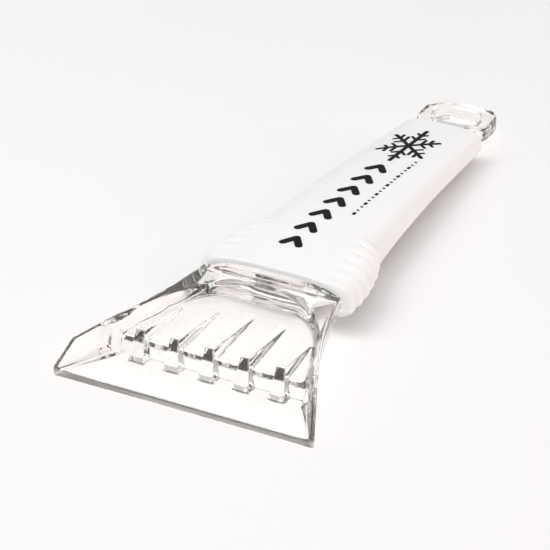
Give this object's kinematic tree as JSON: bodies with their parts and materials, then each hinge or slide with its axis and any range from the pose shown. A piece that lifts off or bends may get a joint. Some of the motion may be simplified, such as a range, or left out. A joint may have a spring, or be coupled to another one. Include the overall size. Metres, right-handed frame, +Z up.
{
  "type": "windshield ice scraper",
  "caption": "Hand ice scraper with a flared clear blade, a row of wedge teeth across a shallow tray, a two-shell grip with ribbed sides and a hang loop",
  "frame": {"origin": "middle of the footprint, on the plane the scraper lies on", "axes": "+X across the blade, +Y from the cutting edge to the hang loop, +Z up out of the tray"},
  "size_m": [0.1, 0.238, 0.0219],
  "materials": {
    "clear_plastic": "polished clear styrene moulding",
    "white_plastic_upper": "satin white moulding",
    "white_plastic_lower": "satin white moulding"
  },
  "bodies": {
    "root": {"clear_scraper_body": "clear_plastic", "upper_grip_shell": "white_plastic_upper", "lower_grip_shell": "white_plastic_lower"}
  },
  "joints": []
}
